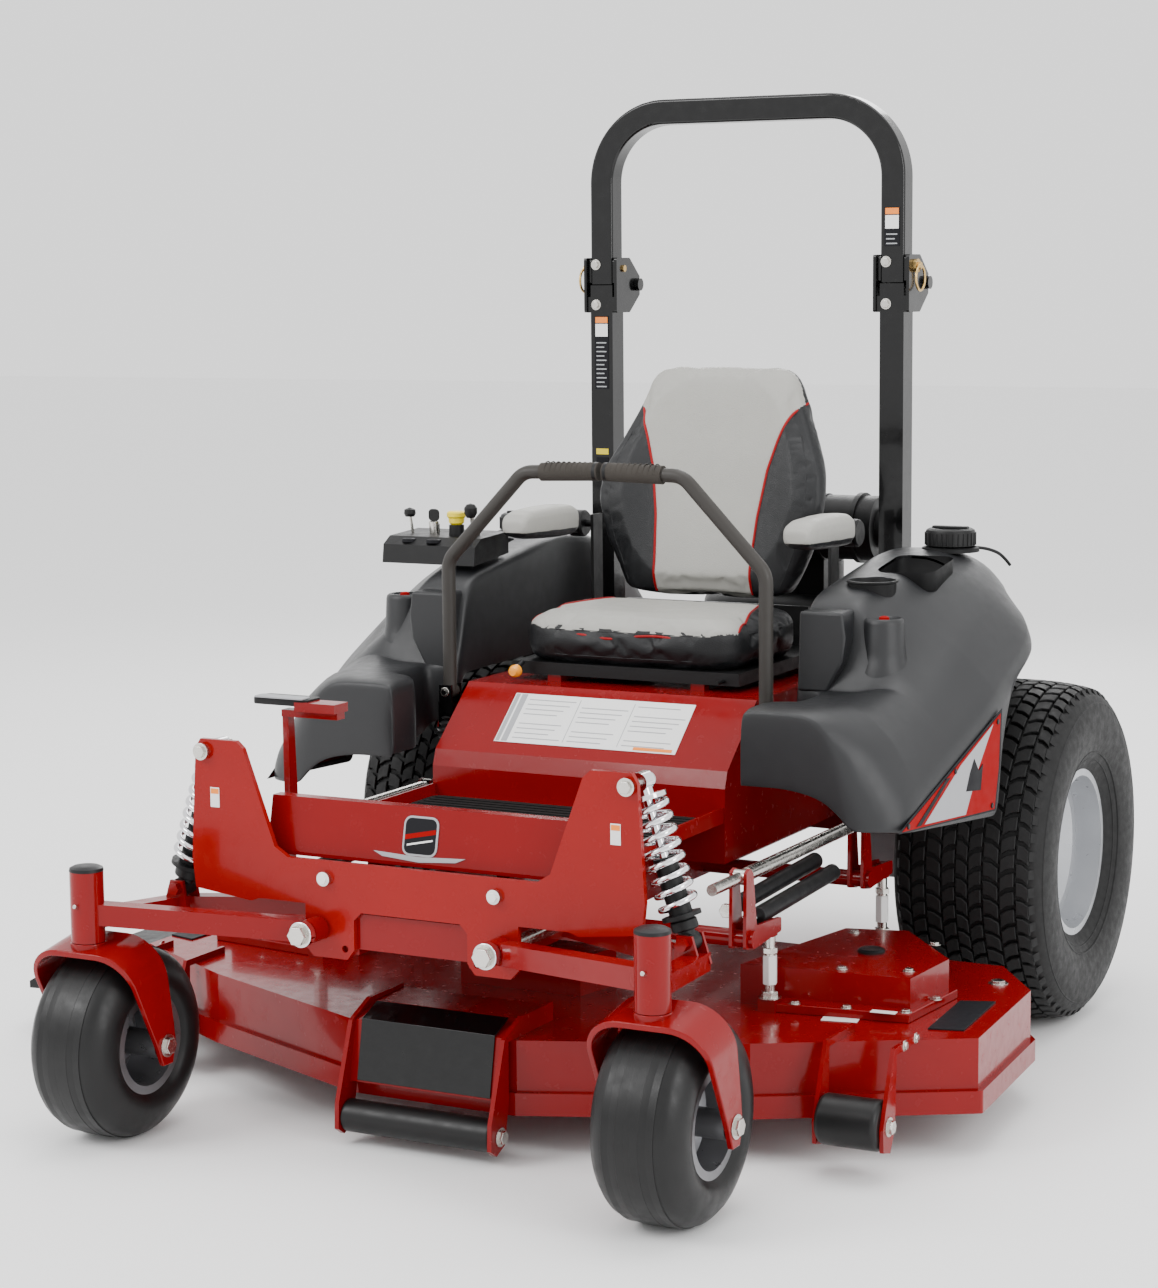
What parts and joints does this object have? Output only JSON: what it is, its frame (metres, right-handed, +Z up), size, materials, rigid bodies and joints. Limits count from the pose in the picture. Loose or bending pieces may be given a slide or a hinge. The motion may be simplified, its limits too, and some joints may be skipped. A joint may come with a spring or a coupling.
{
  "type": "zero turn mower",
  "caption": "Zero turn ride-on mower with sprung front casters, two driven rear wheels, floating side-discharge deck, twin steering levers, padded seat and folding roll bar.",
  "frame": {"origin": "middle of the machine's bounding box, on the ground plane under the wheels", "axes": "+Z up, +Y towards the rear, -Y the direction of travel, +X to the operator's left"},
  "size_m": [1.935, 2.184, 1.8],
  "materials": {
    "red_paint": "gloss",
    "orange_red_paint": "gloss",
    "black_paint": "gloss",
    "grey_plastic": "satin",
    "black_plastic": "satin",
    "tyre": "matte",
    "rim_silver": "satin",
    "caster_rim": "satin",
    "zinc": "satin",
    "chrome": "polished",
    "cast": "cast",
    "vinyl": "satin grain",
    "foam_grip": "matte",
    "roller_rubber": "satin",
    "taupe_paint": "satin",
    "dark_steel": "satin",
    "yellow_zinc": "satin"
  },
  "bodies": {
    "chassis": {"main_frame": "red_paint", "front_plate": "orange_red_paint", "foot_deck": "red_paint", "seat_box": "red_paint", "fender_left": "grey_plastic", "fender_right": "grey_plastic", "rops_posts": "black_paint", "engine_block": "cast", "engine_shroud": "black_plastic", "air_cleaner": "black_plastic", "muffler": "dark_steel", "hydraulic_drives": "cast", "control_panel": "black_plastic", "chassis_bolts": "zinc"},
    "arm_left": {"suspension_arm_left": "red_paint"},
    "shock_top_left": {"shock_upper_left": "chrome", "coil_spring_left": "chrome"},
    "shock_tube_left": {"shock_lower_left": "black_plastic"},
    "caster_left": {"caster_fork_left": "red_paint"},
    "caster_wheel_left": {"caster_rim_left": "caster_rim", "caster_tyre_left": "tyre"},
    "drive_wheel_left": {"drive_rim_left": "rim_silver", "drive_tyre_left": "tyre"},
    "lever_yoke_left": {"lever_base_left": "black_paint"},
    "lever_left": {"lever_tube_left": "taupe_paint", "lever_grip_left": "foam_grip"},
    "lock_pin_left": {"lock_pin_left": "yellow_zinc"},
    "armrest_left": {"armrest_left": "vinyl"},
    "arm_right": {"suspension_arm_right": "red_paint"},
    "shock_top_right": {"shock_upper_right": "chrome", "coil_spring_right": "chrome"},
    "shock_tube_right": {"shock_lower_right": "black_plastic"},
    "caster_right": {"caster_fork_right": "red_paint"},
    "caster_wheel_right": {"caster_rim_right": "caster_rim", "caster_tyre_right": "tyre"},
    "drive_wheel_right": {"drive_rim_right": "rim_silver", "drive_tyre_right": "tyre"},
    "lever_yoke_right": {"lever_base_right": "black_paint"},
    "lever_right": {"lever_tube_right": "taupe_paint", "lever_grip_right": "foam_grip"},
    "lock_pin_right": {"lock_pin_right": "yellow_zinc"},
    "armrest_right": {"armrest_right": "vinyl"},
    "roll_hoop": {"rops_hoop": "black_paint"},
    "seat": {"seat_pan": "black_plastic", "seat_cushion": "vinyl", "seat_back": "vinyl"},
    "deck": {"deck_shell": "red_paint", "deck_covers": "red_paint"},
    "lift_front": {"lift_front_shaft": "red_paint"},
    "lift_rear": {"lift_rear_shaft": "red_paint"},
    "lift_link": {"lift_links": "zinc"},
    "lift_pedal": {"lift_pedal": "red_paint"},
    "chute": {"deck_chute": "black_plastic"},
    "front_roller": {"front_roller": "roller_rubber"},
    "side_roller_left": {"side_roller_left": "roller_rubber"},
    "side_roller_right": {"side_roller_right": "roller_rubber"},
    "blade_left": {"blade_spindle_left": "dark_steel"},
    "blade_centre": {"blade_spindle_centre": "dark_steel"},
    "blade_right": {"blade_spindle_right": "dark_steel"},
    "fuel_cap": {"fuel_cap": "black_plastic"}
  },
  "joints": [
    {"name": "arm_left", "type": "hinge", "parent": "chassis", "child": "arm_left", "pos_m": [0.2975, -0.852, 0.372], "axis": [0, -1, 0], "range_deg": [-3, 5], "stiffness_Nm_per_rad": 9000, "springref_deg": -2.58},
    {"name": "shock_swing_left", "type": "hinge", "parent": "chassis", "child": "shock_top_left", "pos_m": [0.5245, -0.778, 0.655], "axis": [0, -1, 0], "range_deg": [-8, 8]},
    {"name": "shock_stroke_left", "type": "slide", "parent": "shock_top_left", "child": "shock_tube_left", "axis": [0.3117, 0, -0.9502], "range_m": [-0.034, 0.024], "deforming": ["coil_spring_left"]},
    {"name": "caster_swivel_left", "type": "hinge", "parent": "arm_left", "child": "caster_left", "pos_m": [0.6485, -0.996, 0.35], "axis": [0, 0, 1], "continuous": true},
    {"name": "caster_spin_left", "type": "hinge", "parent": "caster_left", "child": "caster_wheel_left", "pos_m": [0.6485, -0.927, 0.165], "axis": [1, 0, 0], "continuous": true},
    {"name": "drive_spin_left", "type": "hinge", "parent": "chassis", "child": "drive_wheel_left", "pos_m": [0.7125, 0.506, 0.33], "axis": [1, 0, 0], "continuous": true},
    {"name": "lever_drive_left", "type": "hinge", "parent": "chassis", "child": "lever_yoke_left", "pos_m": [0.4495, -0.122, 0.6], "axis": [1, 0, 0], "range_deg": [-8, 12], "stiffness_Nm_per_rad": 60},
    {"name": "lever_fold_left", "type": "hinge", "parent": "lever_yoke_left", "child": "lever_left", "pos_m": [0.4495, -0.122, 0.668], "axis": [0, 1, 0], "range_deg": [0, 25]},
    {"name": "lock_pin_left", "type": "slide", "parent": "chassis", "child": "lock_pin_left", "axis": [1, 0, 0], "range_m": [0, 0.045]},
    {"name": "armrest_left", "type": "hinge", "parent": "seat", "child": "armrest_left", "pos_m": [0.3865, 0.356, 0.95], "axis": [-1, 0, 0], "range_deg": [0, 90]},
    {"name": "arm_right", "type": "hinge", "parent": "chassis", "child": "arm_right", "pos_m": [-0.0525, -0.852, 0.372], "axis": [0, 1, 0], "range_deg": [-3, 5], "stiffness_Nm_per_rad": 9000, "springref_deg": -2.58},
    {"name": "shock_swing_right", "type": "hinge", "parent": "chassis", "child": "shock_top_right", "pos_m": [-0.2795, -0.778, 0.655], "axis": [0, 1, 0], "range_deg": [-8, 8]},
    {"name": "shock_stroke_right", "type": "slide", "parent": "shock_top_right", "child": "shock_tube_right", "axis": [-0.3117, 0, -0.9502], "range_m": [-0.034, 0.024], "deforming": ["coil_spring_right"]},
    {"name": "caster_swivel_right", "type": "hinge", "parent": "arm_right", "child": "caster_right", "pos_m": [-0.4035, -0.996, 0.35], "axis": [0, 0, 1], "continuous": true},
    {"name": "caster_spin_right", "type": "hinge", "parent": "caster_right", "child": "caster_wheel_right", "pos_m": [-0.4035, -0.927, 0.165], "axis": [1, 0, 0], "continuous": true},
    {"name": "drive_spin_right", "type": "hinge", "parent": "chassis", "child": "drive_wheel_right", "pos_m": [-0.4675, 0.506, 0.33], "axis": [1, 0, 0], "continuous": true},
    {"name": "lever_drive_right", "type": "hinge", "parent": "chassis", "child": "lever_yoke_right", "pos_m": [-0.2045, -0.122, 0.6], "axis": [1, 0, 0], "range_deg": [-8, 12], "stiffness_Nm_per_rad": 60},
    {"name": "lever_fold_right", "type": "hinge", "parent": "lever_yoke_right", "child": "lever_right", "pos_m": [-0.2045, -0.122, 0.668], "axis": [0, -1, 0], "range_deg": [0, 25]},
    {"name": "lock_pin_right", "type": "slide", "parent": "chassis", "child": "lock_pin_right", "axis": [-1, 0, 0], "range_m": [0, 0.045]},
    {"name": "armrest_right", "type": "hinge", "parent": "seat", "child": "armrest_right", "pos_m": [-0.1415, 0.356, 0.95], "axis": [-1, 0, 0], "range_deg": [0, 90]},
    {"name": "roll_bar_fold", "type": "hinge", "parent": "chassis", "child": "roll_hoop", "pos_m": [0.1225, 0.592, 1.429], "axis": [-1, 0, 0], "range_deg": [0, 110]},
    {"name": "seat_slide", "type": "slide", "parent": "chassis", "child": "seat", "axis": [0, 1, 0], "range_m": [-0.06, 0.06]},
    {"name": "deck_lift", "type": "slide", "parent": "chassis", "child": "deck", "axis": [0, 0, 1], "range_m": [-0.015, 0.045]},
    {"name": "lift_crank_front", "type": "hinge", "parent": "chassis", "child": "lift_front", "pos_m": [0.1225, -0.511, 0.35], "axis": [1, 0, 0], "range_deg": [-8.5, 24.5]},
    {"name": "lift_crank_rear", "type": "hinge", "parent": "chassis", "child": "lift_rear", "pos_m": [0.1225, 0.009, 0.35], "axis": [1, 0, 0], "range_deg": [-8.5, 24.5]},
    {"name": "lift_link_pivot", "type": "hinge", "parent": "lift_front", "child": "lift_link", "pos_m": [0.1225, -0.516, 0.455], "axis": [1, 0, 0], "range_deg": [-24.5, 8.5]},
    {"name": "lift_pedal", "type": "hinge", "parent": "chassis", "child": "lift_pedal", "pos_m": [-0.2295, -0.644, 0.52], "axis": [1, 0, 0], "range_deg": [-8, 22]},
    {"name": "chute_fold", "type": "hinge", "parent": "deck", "child": "chute", "pos_m": [-0.6905, -0.454, 0.172], "axis": [0, 1, 0], "range_deg": [0, 75]},
    {"name": "front_roller_spin", "type": "hinge", "parent": "deck", "child": "front_roller", "pos_m": [0.1225, -0.802, 0.048], "axis": [1, 0, 0], "continuous": true},
    {"name": "side_roller_spin_left", "type": "hinge", "parent": "deck", "child": "side_roller_left", "pos_m": [0.8125, -0.6, 0.09], "axis": [1, 0, 0], "continuous": true},
    {"name": "side_roller_spin_right", "type": "hinge", "parent": "deck", "child": "side_roller_right", "pos_m": [-0.5675, -0.6, 0.09], "axis": [1, 0, 0], "continuous": true},
    {"name": "blade_spin_left", "type": "hinge", "parent": "deck", "child": "blade_left", "pos_m": [0.6325, -0.234, 0.095], "axis": [0, 0, 1], "continuous": true},
    {"name": "blade_spin_centre", "type": "hinge", "parent": "deck", "child": "blade_centre", "pos_m": [0.1225, -0.344, 0.095], "axis": [0, 0, 1], "continuous": true},
    {"name": "blade_spin_right", "type": "hinge", "parent": "deck", "child": "blade_right", "pos_m": [-0.3875, -0.234, 0.095], "axis": [0, 0, 1], "continuous": true},
    {"name": "fuel_cap_turn", "type": "hinge", "parent": "chassis", "child": "fuel_cap", "pos_m": [0.5925, 0.436, 0.921], "axis": [0, 0, 1], "continuous": true}
  ],
  "couplings": [
    {"joint": "shock_swing_left", "follows": "arm_left", "ratio": 0.24682},
    {"joint": "shock_stroke_left", "follows": "arm_left", "m_per_rad": -0.30389},
    {"joint": "shock_swing_right", "follows": "arm_right", "ratio": 0.24682},
    {"joint": "shock_stroke_right", "follows": "arm_right", "m_per_rad": -0.30389},
    {"joint": "lift_crank_front", "follows": "deck_lift", "rad_per_m": 8.6957},
    {"joint": "lift_crank_rear", "follows": "deck_lift", "rad_per_m": 8.6957},
    {"joint": "lift_link_pivot", "follows": "deck_lift", "rad_per_m": -8.6957},
    {"joint": "lift_pedal", "follows": "deck_lift", "rad_per_m": 8},
    {"joint": "blade_spin_left", "follows": "blade_spin_centre", "ratio": 1},
    {"joint": "blade_spin_right", "follows": "blade_spin_centre", "ratio": 1}
  ]
}
